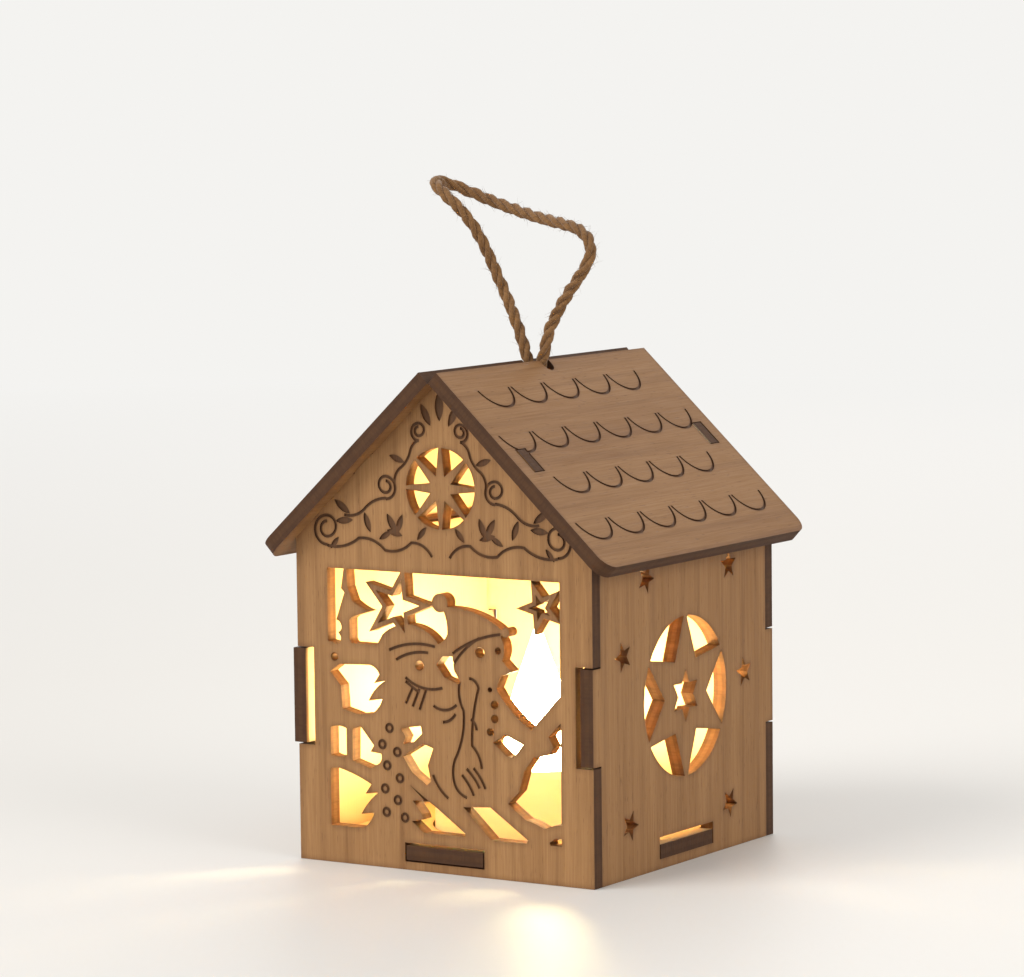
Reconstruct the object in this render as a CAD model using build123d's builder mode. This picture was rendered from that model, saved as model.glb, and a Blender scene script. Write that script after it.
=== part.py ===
from build123d import *

import os
from math import cos, radians, sin, tan

os.makedirs("parts", exist_ok=True)

# A small lantern house of laser-cut plywood, standing over an electric tealight.
# Millimetres, +Z up, the front looks along -Y, the origin is on the floor under the middle of the roof.

# Driving sizes of the house
wall_width = 60.0
house_depth = 61.0
apex_height = 84.2
roof_pitch = 43.0
roof_slope = 46.0
roof_overhang = 3.5
roof_corner = 3.0
ridge_gap = 0.15
ply = 2.5

# Laser-cut joints are wider than the board, so the walls sit loosely
slot_play = 0.8
notch_play = 0.9
left_wall_shift = 0.9
mid_tab_height = 16.5
mid_tab_low = 20.5
mid_tab_play = 0.3
wall_top_play = 0.3
roof_tab_width = 5.0
roof_tab_play = 0.2
roof_tab_share = 0.52

# The floor board and its tabs
floor_rise = 1.7
floor_play = 0.15
front_tab_width = 15.6
side_tab_width = 17.6
floor_slot_play = 0.3
side_slot_play = 1.3

# The wood left beside, below and above the picture window, and the round windows
window_side = 6.4
window_sill = 6.3
window_head = 4.9
gable_rosette_radius = 6.95
gable_rosette_drop = 18.2
side_rosette_rise = 1.3
side_rosette_margin = 13.6
side_star_radius = 2.7

# Engraved lines
groove_width = 0.5
groove_depth = 0.3

# Roof tiles drawn as scallops
scallop_pitch = 10.4
scallop_row = 10.2
scallop_first = 9.6
scallop_dip = 4.5
scallop_rows = 4

# The twine comes up through a notch in the ridge edge of each roof board, from a knot underneath
cord_diameter = 2.0
cord_notch_width = 2.8
cord_notch_depth = 2.6
strand_drop = 3.2
strand_lean = 17.0
exit_rise = 2.0
cord_lead = 2.6
knot_radius = 2.7
knot_play = 0.3
knot_tail = 6.0
tail_gap = 0.3

# The electric tealight, whose radius follows from what its floor holds
shell_draft = 0.25
shell_height = 16.0
shell_wall = 1.2
shell_play = 0.35
deck_drop = 2.0
deck_rim = 1.3
flame_radius = 6.2
flame_height = 25.0
flame_wall = 0.9
flame_tip_wall = 2.7
flame_play = 0.25
flame_flange = 1.1
flame_flange_thickness = 0.8
bottom_rise = 0.6
bottom_thickness = 1.6
bottom_rim = 1.4
inner_play = 0.1

# The coin cell, off centre so that the switch has room
cell_radius = 10.0
cell_height = 3.2
can_wall = 0.25
can_height = 2.9
gasket_wall = 0.5
cell_play = 0.3

# The twist cover of the cell
cover_wall = 1.2
cover_play = 0.3
cover_thickness = 1.8
lug_reach = 1.4
lug_width = 4.0
lug_thickness = 0.7
lug_play = 0.2
cover_turn = 35.0
coin_slot_length = 12.0
coin_slot_width = 1.6
coin_slot_depth = 0.8

# The lamp tray, the lamp and its contacts
contact_room = 1.1
tray_thickness = 1.5
tray_ring_wall = 0.9
tray_ring_gap = 6.0
hub_radius = 4.2
hub_room = 0.4
lamp_radius = 2.5
lamp_flange = 0.4
lamp_flange_thickness = 1.0
lamp_height = 8.6
lead_diameter = 0.5
lead_spacing = 2.54
lead_play = 0.2
contact_thickness = 0.2
contact_width = 4.0
dimple_radius = 1.0

# The slide switch under the tealight
switch_gap = 2.7
switch_rim = 1.7
switch_travel = 3.0
switch_play = 0.3
nub_length = 3.0
nub_width = 2.8
slider_length = 9.0
slider_width = 5.0
slider_thickness = 1.4

# Worked-out places
half_width = wall_width / 2
half_depth = house_depth / 2
pitch_tan = tan(radians(roof_pitch))
pitch_sin = sin(radians(roof_pitch))
pitch_cos = cos(radians(roof_pitch))
corner_height = apex_height - half_width * pitch_tan
gable_rise = apex_height - corner_height
gable_rosette_height = apex_height - gable_rosette_drop
roof_tab_centre = roof_tab_share * half_width / pitch_cos
notch_depth = ply + notch_play
slot_width = ply + slot_play
roof_length = house_depth + 2 * roof_overhang
window_width = wall_width - 2 * window_side
window_height = corner_height - window_sill - window_head
side_wall_height = apex_height - (half_width + left_wall_shift) * pitch_tan - wall_top_play
side_rosette_height = side_wall_height / 2 + side_rosette_rise
side_rosette_radius = side_wall_height / 2 - side_rosette_margin
inner_depth = house_depth - 2 * ply

# The floor of the tealight holds the cell's cover and the switch, one beside the other
cover_radius = cell_radius + cell_play + cover_wall
cover_hole = cover_radius + cover_play
bottom_radius = cover_hole + (bottom_rim + switch_gap + slider_width + switch_rim) / 2
cell_shift = bottom_radius - bottom_rim - cover_hole
switch_place = cover_hole - cell_shift + switch_gap + slider_width / 2
shell_bore = bottom_radius + inner_play
shell_radius = shell_bore + shell_wall

# Each wall is drawn as it is seen from outside, on its outer face
front_face = Plane(origin=(0, -half_depth, 0), x_dir=(1, 0, 0), z_dir=(0, -1, 0))
back_face = Plane(origin=(0, half_depth, 0), x_dir=(-1, 0, 0), z_dir=(0, 1, 0))
right_face = Plane(origin=(half_width, 0, 0), x_dir=(0, 1, 0), z_dir=(1, 0, 0))
left_face = Plane(origin=(-half_width - left_wall_shift, 0, 0), x_dir=(0, -1, 0), z_dir=(-1, 0, 0))

# Each roof board is drawn on its underside, with x running down the slope
apex = (0, 0, apex_height)
right_slope = Plane(origin=apex, x_dir=(pitch_cos, 0, -pitch_sin), z_dir=(pitch_sin, 0, pitch_cos))
left_slope = Plane(origin=apex, x_dir=(-pitch_cos, 0, -pitch_sin), z_dir=(-pitch_sin, 0, pitch_cos))

# Openings of the picture window: across and up as shares of the window, then how far the next side bows
sky_shares = [
    (0.085, 1, 0), (1, 1, 0), (1, 0.576, 0), (0.877, 0.438, 0.12), (0.731, 0.584, 0),
    (0.752, 0.633, 0), (0.797, 0.653, 0), (0.756, 0.691, -0.28), (0.752, 0.778, 0), (0.758, 0.807, -0.16),
    (0.525, 0.88, 0), (0.504, 0.871, 0.15), (0.523, 0.776, 0.2), (0.483, 0.736, -0.44), (0.242, 0.758, 0),
    (0.216, 0.716, 0), (0.106, 0.716, 0.2), (0.097, 0.731, 0), (0.097, 0.807, 0), (0.11, 0.818, 0),
    (0.182, 0.842, 0.1), (0.11, 0.878, 0), (0.089, 0.933, 0),
]
opening_shares = {
    "left of the small fir": [
        (0, 1, 0), (0.074, 1, 0), (0.061, 0.924, 0), (0.076, 0.909, 0), (0.038, 0.802, 0.3),
        (0.059, 0.784, 0.5), (0.046, 0.755, 0), (0.057, 0.738, 0.4), (0.042, 0.709, 0), (0, 0.718, 0),
    ],
    "between the fir boughs": [
        (0.008, 0.6, 0), (0.049, 0.631, 0), (0.182, 0.636, 0.3), (0.225, 0.602, 0), (0.201, 0.567, 0),
        (0.25, 0.58, -0.15), (0.176, 0.498, 0), (0.237, 0.509, 0.2), (0.191, 0.451, 0), (0.129, 0.442, 0),
        (0.061, 0.46, 0), (0.055, 0.549, 0),
    ],
    "left of the trunk": [(0.006, 0.278, 0), (0.006, 0.384, 0.2), (0.076, 0.384, 0), (0.076, 0.278, 0.2)],
    "right of the trunk": [
        (0.102, 0.262, 0), (0.104, 0.382, 0.2), (0.14, 0.396, 0), (0.197, 0.327, 0), (0.182, 0.302, 0),
        (0.229, 0.298, 0.3), (0.22, 0.26, 0), (0.182, 0.238, 0),
    ],
    "under the snow slope": [
        (0.004, 0.224, 0), (0.038, 0.229, 0.06), (0.184, 0.176, 0), (0.157, 0.138, 0), (0.214, 0.147, -0.1),
        (0.138, 0.058, 0), (0.195, 0.067, 0.2), (0.144, 0.004, 0), (0.004, 0.004, 0),
    ],
    "beside the big fir": [
        (0.316, 0.402, 0), (0.403, 0.418, 0), (0.409, 0.389, 0), (0.369, 0.351, 0), (0.324, 0.342, 0),
        (0.337, 0.371, 0),
    ],
    "behind the coat": [
        (0.324, 0.296, 0), (0.411, 0.351, 0), (0.456, 0.336, 0), (0.432, 0.269, 0), (0.445, 0.209, 0),
        (0.428, 0.193, 0), (0.364, 0.238, 0),
    ],
    "over the near ski": [
        (0.354, 0.187, 0), (0.466, 0.111, 0), (0.593, 0.02, 0), (0.589, 0.009, 0), (0.411, 0.009, 0),
        (0.36, 0.049, 0), (0.411, 0.06, 0), (0.405, 0.08, 0), (0.364, 0.129, 0), (0.415, 0.133, 0),
    ],
    "between the skis": [
        (0.583, 0.122, 0), (0.699, 0.131, 0), (0.858, 0.02, 0), (0.852, 0.007, 0), (0.703, 0.007, 0),
    ],
    "below the pole": [
        (1, 0.473, 0), (0.949, 0.418, 0), (0.97, 0.38, 0), (0.949, 0.349, 0), (0.886, 0.336, 0),
        (0.847, 0.282, 0), (0.822, 0.2, 0), (0.775, 0.151, 0), (0.85, 0.096, 0.08), (0.928, 0.069, 0.1),
        (1, 0.091, 0),
    ],
    "under the ski tip": [
        (0.949, 0.02, 0), (0.972, 0.036, 0), (1, 0.038, 0), (1, 0.009, 0), (0.953, 0.009, 0),
    ],
    "inside the arm": [
        (0.714, 0.378, 0), (0.763, 0.413, 0), (0.841, 0.38, 0), (0.801, 0.327, 0), (0.771, 0.331, 0),
    ],
    "between the snowmen": [
        (0.475, 0.656, 0), (0.502, 0.691, 0), (0.544, 0.693, 0), (0.551, 0.64, 0), (0.576, 0.6, 0),
        (0.566, 0.589, 0), (0.508, 0.611, 0),
    ],
}

# Stars in the picture: across, up, radius as a share of the window's width, turn in degrees
picture_star_shares = [(0.301, 0.869, 0.155, 76), (0.919, 0.9, 0.102, 112)]
picture_star_tip_count = 5
picture_star_notch_share = 0.382
star_ring_share = 0.052

# Hat bobbles left standing in the sky, and round holes for eyes, buttons and a fir cone
bobble_shares = [(0.492, 0.893, 0.034), (0.771, 0.798, 0.017)]
round_hole_shares = [
    (0.401, 0.649, 0.019), (0.662, 0.716, 0.02), (0.739, 0.727, 0.0135), (0.703, 0.578, 0.0095),
    (0.722, 0.522, 0.016), (0.722, 0.469, 0.016), (0.703, 0.418, 0.015), (0.028, 0.658, 0.016),
]

# Engraved lines of the picture: rows of across, up and bow, as in the openings
picture_line_shares = [
    [(0.575, 0.6, -0.2), (0.59, 0.49, 0.15), (0.55, 0.3, -0.15), (0.545, 0.22, -0.3), (0.6, 0.16, 0)],
    [(0.615, 0.615, 0.35), (0.655, 0.58, -0.08), (0.625, 0.36, 0.2), (0.665, 0.275, 0)],
    [(0.6, 0.27, 0.1), (0.655, 0.2, 0)],
    [(0.63, 0.275, 0.1), (0.68, 0.2, 0)],
    [(0.58, 0.245, 0.1), (0.63, 0.17, 0)],
    [(0.545, 0.705, 0.12), (0.75, 0.79, 0)],
    [(0.55, 0.665, 0.12), (0.66, 0.77, 0)],
    [(0.27, 0.7, 0.16), (0.47, 0.725, 0)],
    [(0.3, 0.665, 0.16), (0.44, 0.7, 0)],
    [(0.34, 0.585, 0), (0.4, 0.545, 0)],
    [(0.37, 0.56, 0), (0.34, 0.5, 0)],
    [(0.4, 0.56, 0), (0.37, 0.49, 0)],
    [(0.43, 0.56, 0), (0.4, 0.48, 0)],
    [(0.5, 0.44, -0.25), (0.555, 0.475, 0)],
    [(0.46, 0.5, -0.35), (0.56, 0.51, 0)],
    [(0.34, 0.6, -0.25), (0.5, 0.57, 0)],
    [(0.62, 0.46, 0.3), (0.645, 0.42, 0)],
    [(0.455, 0.235, -0.15), (0.52, 0.15, 0)],
]
fir_ball_shares = [
    (0.267, 0.4), (0.235, 0.335), (0.3, 0.31), (0.255, 0.255), (0.31, 0.21),
    (0.245, 0.165), (0.3, 0.125), (0.25, 0.075), (0.33, 0.06),
]
fir_ball_share = 0.019

# Engraved scrollwork of the gable, right half: shares of half the width, and of the rise over the corners
gable_scroll_shares = [(0.78, 0.06, 0.085, 1), (0.37, 0.34, 0.065, -1), (0.14, 0.69, 0.05, 1)]
scroll_arc_count = 3
scroll_shrink_share = 0.72
scroll_bow_share = 0.999
gable_stem_shares = [
    [(0.78, -0.035, 0.22), (0.56, 0.02, -0.25), (0.38, -0.045, 0.25), (0.2, 0.01, -0.3), (0.06, -0.07, 0)],
    [(0.37, 0.275, 0.2), (0.52, 0.2, -0.25), (0.66, 0.16, 0)],
    [(0.305, 0.34, -0.3), (0.275, 0.46, 0.2), (0.2, 0.57, -0.25), (0.14, 0.64, 0)],
]
gable_leaf_shares = [
    (0.62, 0.17, 0.13, 35), (0.6, 0.13, 0.12, -5), (0.48, 0.06, 0.12, 70), (0.3, 0.06, 0.13, 60),
    (0.3, 0.06, 0.12, 110), (0.26, 0.05, 0.11, 15), (0.16, 0.03, 0.1, 130), (0.42, 0.02, 0.1, 150),
    (0.24, 0.5, 0.11, 20), (0.06, 0.73, 0.14, 62), (0.7, 0.02, 0.09, -50),
]
crown_leaf_shares = (0, 0.76, 0.17, 90)
leaf_bow_share = 0.34

# The round windows: the solid star's tips and notches as shares of the radius, and the star hole inside
gable_star_tip_count = 8
gable_star_shares = (1.36, 0.32)
side_star_tip_count = 6
side_rosette_shares = (1.09, 0.51)
side_centre_shares = (0.33, 0.18)

# Star holes of the side walls: across as a share of the depth, up as a share of the wall's height, turn
side_star_shares = [
    (-0.213, 0.917, -5), (0.246, 0.908, 20), (-0.339, 0.69, 180), (0.333, 0.554, 100), (-0.307, 0.163, 140),
    (0.246, 0.145, 60),
]
side_star_notch_share = 0.42
small_star_tip_count = 5

# The scallops: their width, and where the odd and even rows start, as shares of the pitch
scallop_width_share = 0.96
row_start_shares = (1.15, 0.65)

# The flame's outside and inside bend over these points: shares of its radius and of its height
flame_outer_shares = [(1, 0.42), (0.34, 0.66)]
flame_inner_shares = [(0.2, 0.62), (0.85, 0.38)]

# Largest share of a run of twine that the bend at its end takes
bend_share = 0.45


def bowed_side(start, end, bow_share):
    """Draw a side from start to end, bowed to its left by a share of half its length."""
    if bow_share == 0:
        Line(start, end)
        return
    middle = (
        (start[0] + end[0]) / 2 - bow_share * (end[1] - start[1]) / 2,
        (start[1] + end[1]) / 2 + bow_share * (end[0] - start[0]) / 2,
    )
    ThreePointArc(start, middle, end)


def window_point(across_share, up_share):
    """Place a point of the picture window."""
    return ((across_share - 0.5) * window_width, window_sill + up_share * window_height)


def gable_point(across_share, up_share):
    """Place a point of the gable above the wall's corners."""
    return (across_share * half_width, corner_height + up_share * gable_rise)


def closed_outline(points, bows):
    """Make a face of a closed outline with straight and bowed sides."""
    with BuildLine() as outline:
        for start, end, bow in zip(points, points[1:] + points[:1], bows):
            bowed_side(start, end, bow)
    make_face(outline.line)


def engraved_line(points, bows):
    """Make a face as wide as the laser's line along an open run of sides."""
    with BuildLine() as run:
        for start, end, bow in zip(points, points[1:], bows):
            bowed_side(start, end, bow)
    trace(run.line, line_width=groove_width)


def star(centre, tip_radius, notch_radius, tips, turn, mode=Mode.ADD):
    """Make a star with the given number of tips."""
    corners = []
    for k in range(2 * tips):
        reach = notch_radius if k % 2 else tip_radius
        angle = radians(turn + 180 * k / tips)
        corners.append((centre[0] + reach * cos(angle), centre[1] + reach * sin(angle)))
    Polygon(*corners, align=None, mode=mode)


def rosette(up, radius, tips, star_shares):
    """Make the openings of a round window, which a solid star divides."""
    tip_share, notch_share = star_shares
    with Locations((0, up)):
        Circle(radius)
    star((0, up), tip_share * radius, notch_share * radius, tips, 90, mode=Mode.SUBTRACT)


def leaf(root, length, turn):
    """Make a leaf between two bowed sides."""
    tip = (root[0] + length * cos(radians(turn)), root[1] + length * sin(radians(turn)))
    closed_outline([root, tip], [leaf_bow_share, leaf_bow_share])


def scroll(centre, radius, hand):
    """Engrave a spiral of half circles, each smaller than the last."""
    points = [(centre[0], centre[1] - radius)]
    height = centre[1] - radius
    reach = 2 * radius
    for k in range(scroll_arc_count):
        height = height + reach if k % 2 == 0 else height - reach
        points.append((centre[0], height))
        reach = reach * scroll_shrink_share
    engraved_line(points, [-hand * scroll_bow_share] * scroll_arc_count)


def gable_outline():
    """Outline a gable wall, with notches for the side walls and tabs for the roof."""
    right_side = [(half_width, 0), (half_width, corner_height)]
    left_side = [(-half_width, corner_height), (-half_width, 0)]
    Polygon(*right_side, (0, apex_height), *left_side, align=None)
    for side in (-1, 1):
        with Locations((side * (half_width - notch_depth / 2), mid_tab_low + mid_tab_height / 2)):
            Rectangle(notch_depth, mid_tab_height + 2 * mid_tab_play, mode=Mode.SUBTRACT)
        near = roof_tab_centre - roof_tab_width / 2
        far = roof_tab_centre + roof_tab_width / 2
        tab_corners = [
            (side * (along * pitch_cos + out * pitch_sin), apex_height - along * pitch_sin + out * pitch_cos)
            for along, out in ((near, 0), (far, 0), (far, ply), (near, ply))
        ]
        Polygon(*tab_corners, align=None)
    with Locations((0, floor_rise - floor_slot_play + slot_width / 2)):
        Rectangle(front_tab_width + 2 * floor_slot_play, slot_width, mode=Mode.SUBTRACT)


def gable_scrollwork():
    """Engrave the scrolls, stems and leaves round the gable's round window."""
    for side in (-1, 1):
        for across, up, radius_share, hand in gable_scroll_shares:
            scroll(gable_point(side * across, up), radius_share * half_width, side * hand)
        for rows in gable_stem_shares:
            points = [gable_point(side * across, up) for across, up, _ in rows]
            engraved_line(points, [side * bow for _, _, bow in rows])
        for across, up, length_share, turn in gable_leaf_shares:
            leaf(gable_point(side * across, up), length_share * half_width, turn if side > 0 else 180 - turn)
    across, up, length_share, turn = crown_leaf_shares
    leaf(gable_point(across, up), length_share * half_width, turn)


def side_outline():
    """Outline a side wall, with a tab at each end that passes through a gable wall."""
    with Locations((0, side_wall_height / 2)):
        Rectangle(inner_depth, side_wall_height)
    with Locations((0, mid_tab_low + mid_tab_height / 2)):
        Rectangle(house_depth, mid_tab_height)
    with Locations((0, floor_rise + (ply + side_slot_play) / 2)):
        Rectangle(side_tab_width + 2 * floor_slot_play, ply + side_slot_play, mode=Mode.SUBTRACT)


def side_windows():
    """Draw the round window of a side wall and the stars about it."""
    rosette(side_rosette_height, side_rosette_radius, side_star_tip_count, side_rosette_shares)
    tip_radius, notch_radius = [share * side_rosette_radius for share in side_centre_shares]
    star((0, side_rosette_height), tip_radius, notch_radius, side_star_tip_count, 90)
    notch_radius = side_star_notch_share * side_star_radius
    for across, up, turn in side_star_shares:
        centre = (across * house_depth, up * side_wall_height)
        star(centre, side_star_radius, notch_radius, small_star_tip_count, turn)


# The front wall carries the picture window, cut and engraved by the laser
with BuildSketch() as picture_openings:
    sky = [window_point(across, up) for across, up, _ in sky_shares]
    closed_outline(sky, [bow for _, _, bow in sky_shares])
    for across, up, radius_share, turn in picture_star_shares:
        reach = radius_share * window_width
        notch = picture_star_notch_share * reach
        star(window_point(across, up), reach, notch, picture_star_tip_count, turn, Mode.SUBTRACT)
    for across, up, radius_share in bobble_shares:
        with Locations(window_point(across, up)):
            Circle(radius_share * window_width, mode=Mode.SUBTRACT)
    for across, up, radius_share, turn in picture_star_shares:
        reach = (radius_share - star_ring_share) * window_width
        notch = picture_star_notch_share * reach
        star(window_point(across, up), reach, notch, picture_star_tip_count, turn)
    for rows in opening_shares.values():
        closed_outline([window_point(across, up) for across, up, _ in rows], [bow for _, _, bow in rows])
    for across, up, radius_share in round_hole_shares:
        with Locations(window_point(across, up)):
            Circle(radius_share * window_width)

with BuildPart() as front_wall:
    with BuildSketch(front_face):
        gable_outline()
        add(picture_openings.sketch, mode=Mode.SUBTRACT)
    extrude(amount=-ply)
    with BuildSketch(front_face):
        rosette(gable_rosette_height, gable_rosette_radius, gable_star_tip_count, gable_star_shares)
    extrude(amount=-ply, mode=Mode.SUBTRACT)
    with BuildSketch(front_face):
        gable_scrollwork()
        for rows in picture_line_shares:
            engraved_line([window_point(across, up) for across, up, _ in rows], [bow for _, _, bow in rows])
        for across, up in fir_ball_shares:
            with Locations(window_point(across, up)):
                Circle(fir_ball_share * window_width)
                Circle(fir_ball_share * window_width - groove_width, mode=Mode.SUBTRACT)
    extrude(amount=-groove_depth, mode=Mode.SUBTRACT)
front_wall.part.label = "front_wall"
export_step(front_wall.part, "parts/front_wall.step")

# The back wall has the same gable, and lets no light out below it: its round window is only engraved
with BuildPart() as back_wall:
    with BuildSketch(back_face):
        gable_outline()
    extrude(amount=-ply)
    with BuildSketch(back_face):
        rosette(gable_rosette_height, gable_rosette_radius, gable_star_tip_count, gable_star_shares)
    extrude(amount=-ply, mode=Mode.SUBTRACT)
    with BuildSketch(back_face):
        gable_scrollwork()
        side_windows()
    extrude(amount=-groove_depth, mode=Mode.SUBTRACT)
back_wall.part.label = "back_wall"
export_step(back_wall.part, "parts/back_wall.step")

# The side walls are alike, but the windows of the left one are only engraved, and it has slid outwards
with BuildPart() as right_wall:
    with BuildSketch(right_face):
        side_outline()
    extrude(amount=-ply)
    with BuildSketch(right_face):
        side_windows()
    extrude(amount=-ply, mode=Mode.SUBTRACT)
right_wall.part.label = "right_wall"
export_step(right_wall.part, "parts/right_wall.step")

with BuildPart() as left_wall:
    with BuildSketch(left_face):
        side_outline()
    extrude(amount=-ply)
    with BuildSketch(left_face):
        side_windows()
    extrude(amount=-groove_depth, mode=Mode.SUBTRACT)
left_wall.part.label = "left_wall"
export_step(left_wall.part, "parts/left_wall.step")

# The floor board has a tab through each wall and a round hole for the tealight
with BuildPart() as base_plate:
    with BuildSketch(Plane.XY.offset(floor_rise)):
        Rectangle(wall_width - 2 * ply - 2 * floor_play, inner_depth - 2 * floor_play)
        Rectangle(front_tab_width, house_depth)
        Rectangle(wall_width, side_tab_width)
        Circle(shell_radius + shell_play, mode=Mode.SUBTRACT)
    extrude(amount=ply)
base_plate.part.label = "base_plate"
export_step(base_plate.part, "parts/base_plate.step")


def roof_outline():
    """Outline a roof board, with slots for the gable tabs and a round-ended notch for the twine."""
    with Locations(((ridge_gap + roof_slope) / 2, 0)):
        Rectangle(roof_slope - ridge_gap, roof_length)
    notch_end = cord_notch_depth - cord_notch_width / 2
    with Locations((notch_end / 2, 0)):
        Rectangle(notch_end, cord_notch_width, mode=Mode.SUBTRACT)
    with Locations((notch_end, 0)):
        Circle(cord_notch_width / 2, mode=Mode.SUBTRACT)
    with Locations((roof_tab_centre, half_depth - ply / 2), (roof_tab_centre, ply / 2 - half_depth)):
        Rectangle(roof_tab_width + 2 * roof_tab_play, slot_width, mode=Mode.SUBTRACT)


def roof_scallops(front_end):
    """Engrave rows of scallops, each row half a scallop aside of the last."""
    half = scallop_width_share * scallop_pitch / 2
    inner = half - groove_width
    for row in range(scallop_rows):
        low = scallop_first + row * scallop_row - scallop_dip
        start = row_start_shares[row % 2] * scallop_pitch
        count = int((roof_length - start - half) / scallop_pitch) + 1
        for k in range(count):
            middle = front_end * (roof_length / 2 - start - k * scallop_pitch)
            closed_outline(
                [(low, middle - half), (low, middle + half), (low, middle + inner), (low, middle - inner)],
                [-scallop_dip / half, 0, (scallop_dip - groove_width) / inner, 0],
            )


# The two roof boards lean on the gables and meet in an open groove along the ridge
with BuildPart() as roof_right:
    with BuildSketch(right_slope):
        roof_outline()
    extrude(amount=ply)
    eave_corners = roof_right.edges().filter_by(Axis(right_slope.origin, right_slope.z_dir))
    fillet(eave_corners.group_by(Axis.X)[-1], radius=roof_corner)
    with BuildSketch(right_slope.offset(ply)):
        roof_scallops(-1)
    extrude(amount=-groove_depth, mode=Mode.SUBTRACT)
roof_right.part.label = "roof_right"
export_step(roof_right.part, "parts/roof_right.step")

with BuildPart() as roof_left:
    with BuildSketch(left_slope):
        roof_outline()
    extrude(amount=ply)
    eave_corners = roof_left.edges().filter_by(Axis(left_slope.origin, left_slope.z_dir))
    fillet(eave_corners.group_by(Axis.X)[0], radius=roof_corner)
    with BuildSketch(left_slope.offset(ply)):
        roof_scallops(1)
    extrude(amount=-groove_depth, mode=Mode.SUBTRACT)
roof_left.part.label = "roof_left"
export_step(roof_left.part, "parts/roof_left.step")

# The two strands of twine lean apart from the knot, come up through the notches and close in one loop
strands_meet = apex_height - strand_drop
lean_sin = sin(radians(strand_lean))
lean_cos = cos(radians(strand_lean))
strand_length = (strand_drop + exit_rise) / lean_cos


def strand_end(side):
    """Place the plane, square to a strand, where the loop begins."""
    origin = (side * strand_length * lean_sin, 0, strands_meet + strand_length * lean_cos)
    return Plane(origin=origin, x_dir=(0, 1, 0), z_dir=(side * lean_sin, 0, lean_cos))


left_end = strand_end(-1)
right_end = strand_end(1)
left_lead = left_end.from_local_coords((0, 0, cord_lead))
right_lead = right_end.from_local_coords((0, 0, cord_lead))
loop_route = [
    (-4.0, 0.4, 92.4), (-6.3, 0.9, 96.8), (-8.3, 0.6, 101.1), (-9.6, -0.6, 105.3), (-10.9, -2.2, 109.1),
    (-12.7, -3.8, 112.2), (-15.3, -4.6, 114.7), (-18.2, -3.3, 116.4), (-20.2, -0.2, 117.0),
    (-20.2, 3.4, 116.5), (-18.0, 6.0, 115.2), (-13.8, 6.9, 113.5), (-8.2, 6.6, 111.8), (-2.1, 5.4, 110.4),
    (3.5, 3.6, 109.6), (8.0, 2.2, 108.8), (10.9, 1.2, 106.7), (11.2, 0.5, 103.6), (8.9, 0.4, 100.4),
    (5.8, 0.9, 96.9), (3.6, 1.0, 93.4), (2.6, 0.4, 90.8),
]
loop_points = [left_end.origin, left_lead] + [Vector(*point) for point in loop_route]
loop_points += [right_lead, right_end.origin]


def bend_radii(points):
    """Work out the largest bend that the two runs at each corner allow."""
    radii = []
    for before, corner, after in zip(points, points[1:], points[2:]):
        run_in = corner - before
        run_out = after - corner
        half_turn = radians(run_in.get_angle(run_out)) / 2
        radii.append(bend_share * min(run_in.length, run_out.length) / tan(half_turn))
    return radii


loop_radii = bend_radii(loop_points)
with BuildPart() as hanging_loop:
    with BuildLine() as loop_line:
        FilletPolyline(*loop_points, radius=loop_radii)
    with BuildSketch(left_end):
        Circle(cord_diameter / 2)
    sweep()
hanging_loop.part.label = "hanging_loop"
export_step(hanging_loop.part, "parts/hanging_loop.step")
print("loop length", round(loop_line.wires()[0].length, 2))
print("bend radii", [round(radius, 1) for radius in loop_radii])

# The knot is drawn up close under the boards and keeps two short tails
knot_height = apex_height - (knot_radius + knot_play) / pitch_cos
with BuildPart() as hanging_knot:
    for end_plane in (left_end, right_end):
        with BuildSketch(end_plane):
            Circle(cord_diameter / 2)
        extrude(amount=-strand_length)
    with Locations((0, 0, knot_height)):
        Sphere(knot_radius)
    with BuildSketch(Plane.XY.offset(knot_height)):
        with Locations((-cord_diameter / 2, 0), (cord_diameter / 2, 0)):
            Circle((cord_diameter - tail_gap) / 2)
    extrude(amount=-knot_radius - knot_tail)
hanging_knot.part.label = "hanging_knot"
export_step(hanging_knot.part, "parts/hanging_knot.step")

# The moulded shell of the tealight: a draughted wall and a dished deck round the flame
flame_hole = flame_radius + flame_play
deck_height = shell_height - deck_drop
with BuildPart() as tealight_shell:
    with BuildSketch(Plane.XZ):
        with BuildLine():
            Polyline(
                (shell_radius, 0),
                (shell_radius - shell_draft, shell_height - deck_rim),
                (shell_radius - shell_draft - deck_rim / 2, shell_height),
                (shell_radius - shell_draft - deck_rim, shell_height),
                (shell_radius - 2 * deck_rim, deck_height + deck_rim / 2),
                (flame_hole, deck_height),
                (flame_hole, deck_height - shell_wall),
                (shell_radius - 2 * deck_rim, deck_height - shell_wall),
                (shell_radius - shell_wall - shell_draft, deck_height - shell_wall - deck_rim),
                (shell_radius - shell_wall, 0),
                close=True,
            )
        make_face()
    revolve(axis=Axis.Z)
tealight_shell.part.label = "tealight_shell"
export_step(tealight_shell.part, "parts/tealight_shell.step")

# The hollow flame is pushed up through the deck from below, until its flange meets the deck
flange_radius = flame_radius + flame_flange
flange_top = deck_height - shell_wall - inner_play
flange_low = flange_top - flame_flange_thickness
flame_bore = flame_radius - flame_wall


def flame_points(reach, shares):
    """Place the points that one side of the flame bends over."""
    return [(across * reach, shell_height + up * flame_height) for across, up in shares]


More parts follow.
